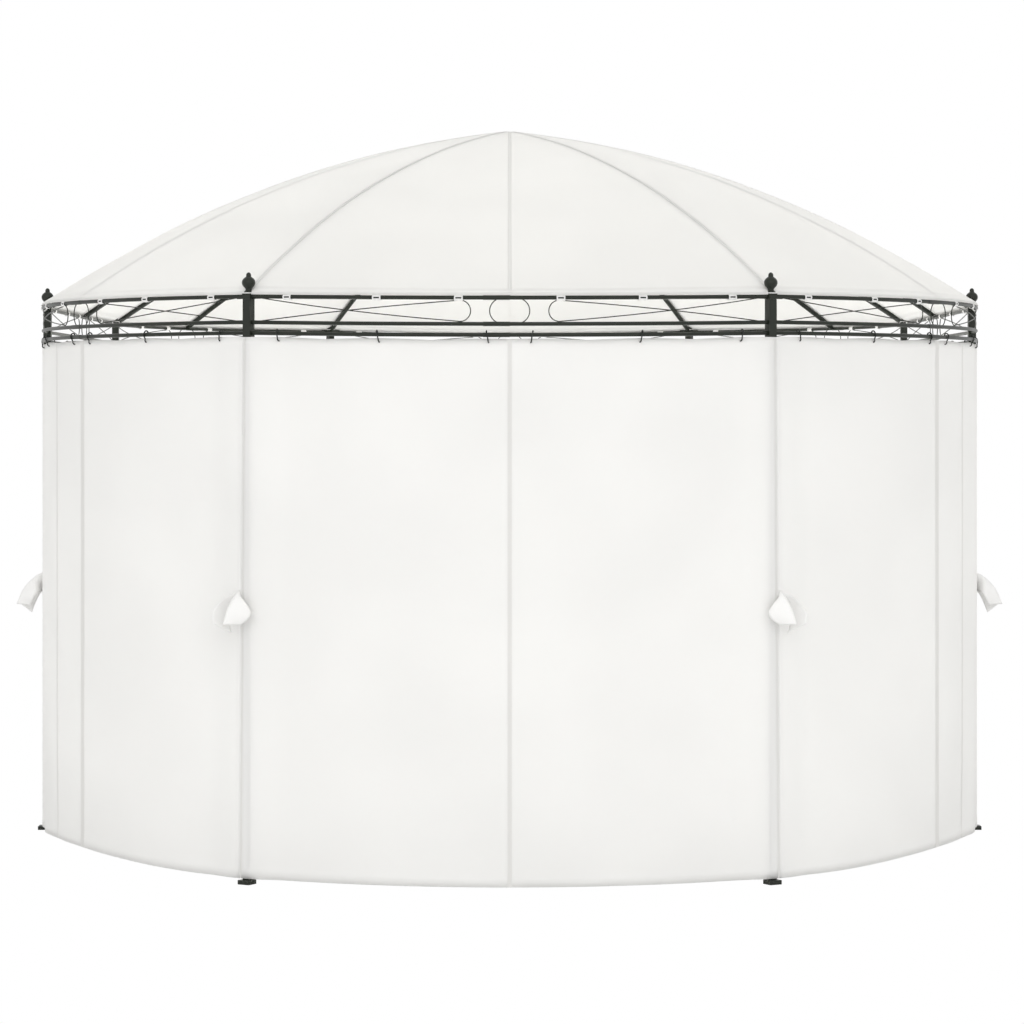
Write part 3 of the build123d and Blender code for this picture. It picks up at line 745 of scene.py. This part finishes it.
for name, sign in (("ribs_front", -1), ("ribs_back", 1)):
    ribs = Gather()
    base = 0 if sign < 0 else 180
    origin = Vector((0, sign * HALF_STRAIGHT, 0))
    for turn, seat in zip(RIB_TURNS, (SLEEVE_HEAD_HALF, TOP_BAR_RADIUS)):
        for side in (-1, 1):
            path = rib_path(origin, base + side * turn, RIB_MID_HEIGHTS[turn], seat)
            ribs.tube(path, RIB_RADIUS, BAR_SIDES)
    piece = ribs.piece("bent_" + name, steel, STEEL)
    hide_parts(name)
for name, y, seat in (
    ("arch_front", -HALF_STRAIGHT, SLEEVE_HEAD_HALF),
    ("arch_middle", 0.0, TOP_BAR_RADIUS),
    ("arch_back", HALF_STRAIGHT, SLEEVE_HEAD_HALF),
):
    arch = Gather()
    for azimuth in (90, -90):
        path = rib_path(Vector((0, y, 0)), azimuth, RIB_MID_HEIGHTS[90.0], seat)
        arch.tube(path, RIB_RADIUS, BAR_SIDES)
    piece = arch.piece("bent_" + name, steel, STEEL)
    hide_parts(name)


# Curtains
def lean_at(height):
    """How far an end curtain's side edge passes the post's middle at a height."""
    t = (CURTAIN_TOP - height) / (CURTAIN_TOP - CURTAIN_HEM)
    return SEAM_LEAN_TOP + (SEAM_LEAN_FOOT - SEAM_LEAN_TOP) * t


def edge_shift(bay, end, height):
    """How far a bay's curtain reaches past its post's middle line at one end, at a height."""
    post = (bay.azimuth + (end * POST_TURN if not bay.straight else 0)) % 360
    if bay.straight or round(post) in (90, 270):
        return 0.0
    own = bay.azimuth in (0, 180)
    return lean_at(height) if own else -lean_at(height)


def curtain_foot(bay, along):
    """Height of a curtain's bottom edge: it rises between the front or back bay and the side."""
    if bay.straight:
        return CURTAIN_HEM
    turn = abs((bay.azimuth + POST_TURN * along / bay.half + 90) % 180 - 90)
    rise = SIDE_FOOT_RISE * smooth_step(*FOOT_RISE_TURNS, turn)
    return CURTAIN_HEM + rise * (1 - smooth_step(*FOOT_FALL_TURNS, turn))


def curtain_top(bay, along):
    """Height of the curtain's top edge, a little lower between the hooks."""
    angle = along / bay.half * POST_TURN
    nearest = min(abs(angle - hook) for hook in mirrored(HOOK_ANGLES))
    scallop = TOP_SCALLOP * min(1.0, nearest / SCALLOP_ANGLE) ** SCALLOP_POWER
    return CURTAIN_TOP - bar_sag(bay, along) - scallop


def fold_place(bay):
    """Where the sewn fold of a bay beside the front or back one lies, on its outer half."""
    outer = 1 if bay.azimuth in (60, 240) else -1
    return outer * END_RADIUS * radians(FOLD_TURN)


def curtain_radius(bay, along, height):
    """Radius of the curtain's outer face: taut, with hems, a middle seam and soft folds."""
    near = min(bay.half - along, along + bay.half)
    free = smooth_step(0.012, POST_WRAP, near)
    seed = Vector((bay.azimuth * 0.37 + along * 2.4, height * 0.42, 3.1))
    wave = WAVE_DEPTH * noise.noise(seed) + FINE_WAVE_DEPTH * noise.noise(seed * 3.1)
    foot = smooth_step(0.9, 0.1, height)
    seed = Vector((bay.azimuth + along * 4.1, height * 0.8, 9.7))
    wave += foot * FOOT_WAVE_DEPTH * noise.noise(seed)
    fold = 0.0
    if not bay.straight and bay.azimuth not in (0, 180):
        offset = along - fold_place(bay)
        fold = FOLD_HEIGHT * exp(-((offset / FOLD_WIDTH) ** 2)) * smooth_step(0.0, 0.4, height)
    raised = 0.0
    low, high = curtain_foot(bay, along) + BOTTOM_HEM, curtain_top(bay, along) - TOP_HEM
    if height < low or height > high:
        raised = HEM_RISE
    if near < SIDE_HEM or abs(along) < MIDDLE_SEAM / 2:
        raised = HEM_RISE
    hang = CURTAIN_RADIUS + free * (CURTAIN_HANG_RADIUS - CURTAIN_RADIUS)
    return hang + free * (wave + fold) + raised


def hem_steps(low, high, breaks, step):
    """Even places from low to high, with a pair of places on both sides of each break."""
    count = max(2, round((high - low) / step))
    places = [low + (high - low) * i / count for i in range(count + 1)]
    for place in breaks:
        places = [p for p in places if abs(p - place) > BREAK_CLEARANCE or p in (low, high)]
        places += [place - BREAK_STEP, place + BREAK_STEP]
    return sorted(places)


def curtain_rows(bay, places, shares, rise=0.0):
    """Points on a curtain and their places on the cloth, row by row from the foot up."""
    limit = bay.half - CURTAIN_GAP / 2
    rows, uvs = [], []
    for share in shares:
        row, uv = [], []
        for along in places:
            foot, top = curtain_foot(bay, along), curtain_top(bay, along)
            height = foot + share * (top - foot)
            end = 1 if along > 0 else -1
            pulled = abs(along / limit) ** EDGE_SHIFT_POWER
            shifted = along + end * edge_shift(bay, end, height) * pulled
            row.append(bay.place(shifted, curtain_radius(bay, along, height) + rise, height))
            uv.append((shifted + CLOTH_START, height))
        rows.append(row)
        uvs.append(uv)
    return rows, uvs


for bay in BAYS:
    limit = bay.half - CURTAIN_GAP / 2
    across = hem_steps(
        -limit, limit,
        [-limit + SIDE_HEM, -MIDDLE_SEAM / 2, MIDDLE_SEAM / 2, limit - SIDE_HEM], CURTAIN_STEP,
    )
    hems = [BOTTOM_HEM / HEM_ROWS_HEIGHT, 1 - TOP_HEM / HEM_ROWS_HEIGHT]
    rows, uvs = curtain_rows(bay, across, hem_steps(0.0, 1.0, hems, CURTAIN_ROW))
    cloth = Gather()
    cloth.grid(rows, uvs=uvs)
    piece = cloth.piece("cloth_" + bay.name, curtain_cloth, CURTAIN)
    if bay.azimuth == 270 and bay.straight:
        piece.data.flip_normals()
    thicken(piece, CURTAIN_THICKNESS)
    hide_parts("curtain_" + bay.name)


# Strips on the curtains, a little raised, whose greyer cloth is painted shade for the shaded lines
# of the seams, the post edges and the folds: both sides and the middle of the front and back ones,
# the middle of the straight ones, and two lines on the others
def curtain_shade_strips(bay):
    """Where a bay's strips of painted seam shade lie: places of both edges along the bay."""
    limit = bay.half - CURTAIN_GAP / 2
    if bay.azimuth in (0, 180):
        edges = (-limit, -limit + SIDE_TAPE), (limit - SIDE_TAPE, limit)
        return edges + ((-MIDDLE_SEAM / 2, MIDDLE_SEAM / 2),)
    if bay.straight:
        return ((-MIDDLE_SEAM / 2, MIDDLE_SEAM / 2),)
    fold = fold_place(bay)
    return (-WIDE_TAPE / 2, WIDE_TAPE / 2), (fold - NARROW_TAPE / 2, fold + NARROW_TAPE / 2)


shaded_strips = Gather()
shares = [i / TAPE_STEPS for i in range(TAPE_STEPS + 1)]
for bay in BAYS:
    for low, high in curtain_shade_strips(bay):
        places = (low, low + (high - low) / 3, high - (high - low) / 3, high)
        rows, uvs = curtain_rows(bay, places, shares, TAPE_RISE)
        shaded_strips.grid(rows, uvs=uvs)
shaded_strips.piece("curtain_shade_strips", seam_shade_cloth, CURTAIN)


# Clips that hold the roof to the top bar, and hooks that hold the curtains to the bottom bar
CLIP_RUNS = (
    (-CLIP_LENGTH / 2, -CLIP_SLOT_LENGTH / 2, False),
    (-CLIP_SLOT_LENGTH / 2, CLIP_SLOT_LENGTH / 2, True),
    (CLIP_SLOT_LENGTH / 2, CLIP_LENGTH / 2, False),
)
clips = Gather()
for bay in BAYS:
    for angle in mirrored(CLIP_ANGLES):
        middle = bay.at_angle(angle)
        for low, high, slotted in CLIP_RUNS:
            rows = []
            for k in range(CLIP_SIDES + 1):
                turn = 2 * pi * k / CLIP_SIDES
                if slotted and abs((turn + pi) % (2 * pi) - pi) < CLIP_SLOT_TURN:
                    continue
                out = END_RADIUS + CLIP_RADIUS * cos(turn)
                centre = TOP_BAR_HEIGHT - bar_sag(bay, middle) - CLIP_DROP
                up = centre + CLIP_RADIUS * sin(turn)
                rows.append([bay.place(middle + end, out, up) for end in (low, high)])
            clips.grid(rows)
clip_piece = clips.piece("roof_clips", strap_cloth, STRAP)
thicken(clip_piece, CLIP_THICKNESS)

hooks = Gather()
for bay in BAYS:
    for angle in mirrored(HOOK_ANGLES):
        middle = bay.at_angle(angle)
        upper = LOWER_BAR_RADIUS + HOOK_WIRE + HOOK_GAP
        path = []
        for turn in range(215, -20, -15):
            stand = HOOK_STAND * max(0.0, sin(radians(turn)))
            out = END_RADIUS + upper * cos(radians(turn))
            path.append((out, BOTTOM_BAR_HEIGHT + upper * sin(radians(turn)) + stand))
        eye_up = CURTAIN_TOP - EYELET_DROP
        eye_out = curtain_radius(bay, middle, eye_up) + EYE_OUT
        path.append((eye_out + HOOK_SHANK[0], BOTTOM_BAR_HEIGHT - HOOK_SHANK[1]))
        path += [(eye_out + out, eye_up + up) for out, up in HOOK_TIP]
        sag = bar_sag(bay, middle)
        inward = -1 if middle > 0 else 1
        points = []
        for i, (out, up) in enumerate(path):
            turned_by = max(0.0, i / (len(path) - 1) - HOOK_LEAN_START) / (1 - HOOK_LEAN_START)
            points.append(bay.place(middle + inward * HOOK_LEAN * turned_by, out, up - sag))
        hooks.tube(points, HOOK_WIRE, WIRE_SIDES)
hooks.piece("curtain_hooks", hook_steel, STEEL)


# Straps that tie an open curtain back: two hang from the curtains' edges at each post
def through_points(spots, count):
    """Smooth line of points through a few spots."""
    spots = [Vector(v) for v in spots]
    spots = [2 * spots[0] - spots[1]] + spots + [2 * spots[-1] - spots[-2]]
    line = []
    for i in range(len(spots) - 3):
        a, b, c, d = spots[i:i + 4]
        for k in range(count):
            t = k / count
            line.append(
                0.5 * (2 * b + (c - a) * t + (2 * a - 5 * b + 4 * c - d) * t ** 2
                       + (3 * b - a - 3 * c + d) * t ** 3)
            )
    return line + [spots[-2]]


# Each line of a strap: (out from the frame's circle, along, up), from the post to the free end
INNER_STRAP = (
    ((0.0185, -0.004, 0.955), (0.05, -0.004, 0.938),
     (0.09, -0.004, 0.9), (0.116, -0.004, 0.848)),
    ((0.0185, 0.001, 0.923), (0.045, 0.03, 0.92),
     (0.072, 0.03, 0.888), (0.0885, 0.012, 0.8475)),
    ((0.0185, 0.004, 0.892), (0.036, 0.052, 0.886),
     (0.052, 0.048, 0.862), (0.061, 0.028, 0.847)),
)
OUTER_STRAP = (
    ((0.0185, -0.006, 0.955), (0.055, -0.036, 0.932),
     (0.095, -0.055, 0.892), (0.113, -0.044, 0.85)),
    ((0.0185, -0.007, 0.923), (0.045, -0.036, 0.905),
     (0.072, -0.042, 0.872), (0.087, -0.027, 0.835)),
    ((0.0185, -0.008, 0.892), (0.034, -0.022, 0.88),
     (0.05, -0.022, 0.85), (0.061, -0.0077, 0.82)),
)
ties = Gather()
for centre_y, azimuth in POSTS:
    out = level_direction(azimuth)
    along = level_direction(azimuth + 90) * (1 if azimuth in (-90, -30, 150, 270) else -1)
    drop, hang = (SIDE_TIE_DROP, SIDE_TIE_HANG) if abs(out.x) > 0.9 else (0.0, 1.0)
    for strap in (INNER_STRAP, OUTER_STRAP):
        lines = [through_points(line, STRAP_STEPS) for line in strap]
        rows = []
        for upper, middle, lower in zip(*lines):
            row = []
            for k in range(STRAP_STEPS + 1):
                t = k / STRAP_STEPS
                spot = (1 - t) * (1 - 2 * t) * upper + 4 * t * (1 - t) * middle
                spot -= t * (1 - 2 * t) * lower
                height = TIE_TOP - drop - (TIE_TOP - spot.z) * hang
                beside = along * (spot.y - TIE_ASIDE)
                row.append(out * (END_RADIUS + spot.x) + beside + Vector((0, centre_y, height)))
            rows.append(row)
        ties.grid(rows)
tie_piece = ties.piece("tie_straps", strap_cloth, STRAP)
thicken(tie_piece, TIE_THICKNESS)
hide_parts("tie_backs")

# Cloth tabs of the roof, held under the finials
TAB_PROFILE = (
    (0.0, 0.0), (0.0, TAB_RADIUS), (TAB_THICKNESS, TAB_RADIUS), (TAB_THICKNESS, 0.0),
)
tabs = Gather()
for centre_y, azimuth in POSTS:
    tabs.turned(post_place(centre_y, azimuth, POST_TOP), TAB_PROFILE, TAB_SIDES)
tabs.piece("finial_tabs", strap_cloth, ROOF)


# Floor, backdrop and light
def stage_plane(name, corners, material):
    """A flat face of the studio."""
    mesh = bpy.data.meshes.new(name)
    mesh.from_pydata(corners, [], [(0, 1, 2, 3)])
    plane = bpy.data.objects.new(name, mesh)
    bpy.context.scene.collection.objects.link(plane)
    plane.data.materials.append(material)
    return plane


floor_material, _, floor_shader, _ = node_material("white_floor")
floor_shader.inputs["Base Color"].default_value = (0.9, 0.9, 0.9, 1)
floor_shader.inputs["Roughness"].default_value = 1.0
floor_shader.inputs["Specular IOR Level"].default_value = 0.0
floor_corners = [(-40, -40, 0), (40, -40, 0), (40, 60, 0), (-40, 60, 0)]
floor = stage_plane("floor", floor_corners, floor_material)
floor.visible_camera = False

world = bpy.data.worlds.new("studio")
bpy.context.scene.world = world
world.use_nodes = True
sky = world.node_tree
background = sky.nodes["Background"]
background.inputs["Color"].default_value = (1, 1, 1, 1)
view = sky.nodes.new("ShaderNodeTexCoord")
split = sky.nodes.new("ShaderNodeSeparateXYZ")
sky.links.new(view.outputs["Generated"], split.inputs[0])


def sky_math(operation, first, second):
    """One step of the sky's brightness: a value or a socket on each side."""
    step = sky.nodes.new("ShaderNodeMath")
    step.operation = operation
    for socket, value in zip(step.inputs, (first, second)):
        if isinstance(value, float):
            socket.default_value = value
        else:
            sky.links.new(value, socket)
    return step.outputs[0]


forward = sky_math("MAXIMUM", sky_math("MULTIPLY", split.outputs[1], -1.0), 0.0)
ahead = sky_math("MULTIPLY", forward, SKY_FRONT)
sky.links.new(sky_math("ADD", ahead, SKY_EVEN), background.inputs["Strength"])
white = sky.nodes.new("ShaderNodeBackground")
white.inputs["Color"].default_value = (1, 1, 1, 1)
white.inputs["Strength"].default_value = 1.0
light_path = sky.nodes.new("ShaderNodeLightPath")
mix = sky.nodes.new("ShaderNodeMixShader")
sky.links.new(light_path.outputs["Is Camera Ray"], mix.inputs[0])
sky.links.new(background.outputs[0], mix.inputs[1])
sky.links.new(white.outputs[0], mix.inputs[2])
sky.links.new(mix.outputs[0], sky.nodes["World Output"].inputs["Surface"])


def area_light(name, place, target, size, power):
    """A rectangular lamp at a place, turned to a target."""
    data = bpy.data.lights.new(name, "AREA")
    data.shape = "RECTANGLE"
    data.size, data.size_y = size
    data.energy = power
    lamp = bpy.data.objects.new(name, data)
    bpy.context.scene.collection.objects.link(lamp)
    lamp.location = place
    lamp.rotation_euler = (Vector(target) - Vector(place)).to_track_quat("-Z", "Y").to_euler()


area_light("key", KEY_PLACE, KEY_TARGET, KEY_SIZE, KEY_POWER)
area_light("inside", INSIDE_PLACE, INSIDE_TARGET, INSIDE_SIZE, INSIDE_POWER)

bpy.context.scene.view_settings.view_transform = "Standard"
